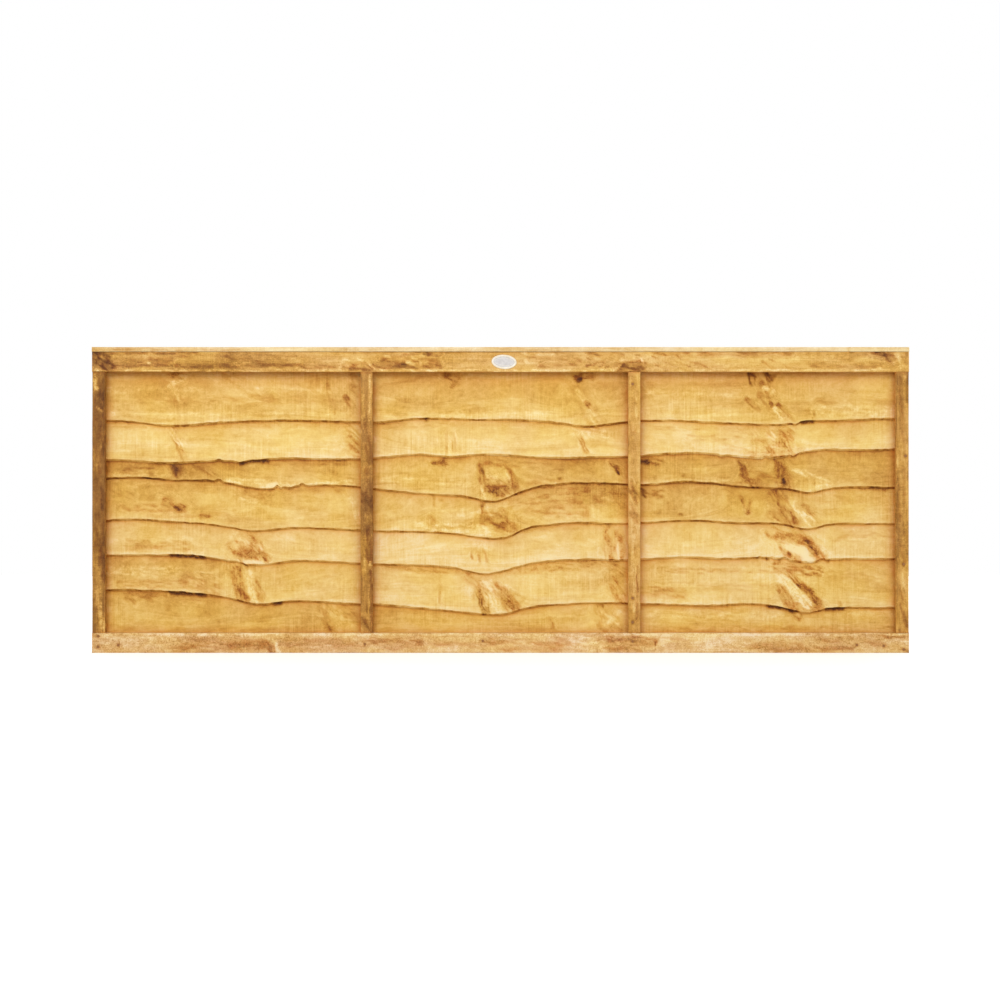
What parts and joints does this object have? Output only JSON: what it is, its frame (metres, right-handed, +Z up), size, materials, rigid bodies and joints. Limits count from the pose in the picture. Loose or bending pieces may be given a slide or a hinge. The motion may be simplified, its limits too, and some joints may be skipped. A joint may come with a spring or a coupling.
{
  "type": "lap fence panel",
  "caption": "Horizontal fence panel of overlapping waney-edge timber boards held between sawn rails, stiles and battens, with a capping strip along its top.",
  "frame": {"origin": "middle of the underside of the bottom rails", "axes": "+X along the panel, to the right seen from its front; -Y out of its front; +Z up"},
  "size_m": [1.828, 0.0552, 0.685],
  "materials": {
    "board_wood": "rough sawn, pressure treated golden",
    "rail_wood": "rough sawn, pressure treated golden",
    "upright_wood": "rough sawn, darker brown",
    "capping_wood": "sawn, pale",
    "nail_steel": "dull, lightly rusted",
    "badge_plastic": "satin cream"
  },
  "bodies": {
    "root": {"back_batten_1": "upright_wood", "back_batten_2": "upright_wood", "back_bottom_rail": "rail_wood", "back_left_stile": "upright_wood", "back_right_stile": "upright_wood", "back_top_rail": "rail_wood", "badge": "badge_plastic", "bottom_rail_nails": "nail_steel", "capping_nails": "nail_steel", "front_batten_1": "upright_wood", "front_batten_2": "upright_wood", "front_bottom_rail": "rail_wood", "front_left_stile": "upright_wood", "front_right_stile": "upright_wood", "front_top_rail": "rail_wood", "lap_board_1": "board_wood", "lap_board_2": "board_wood", "lap_board_3": "board_wood", "lap_board_4": "board_wood", "lap_board_5": "board_wood", "lap_board_6": "board_wood", "lap_board_7": "board_wood", "lap_nails": "nail_steel", "top_capping": "capping_wood", "top_rail_nails": "nail_steel", "upright_nails": "nail_steel"}
  },
  "joints": []
}
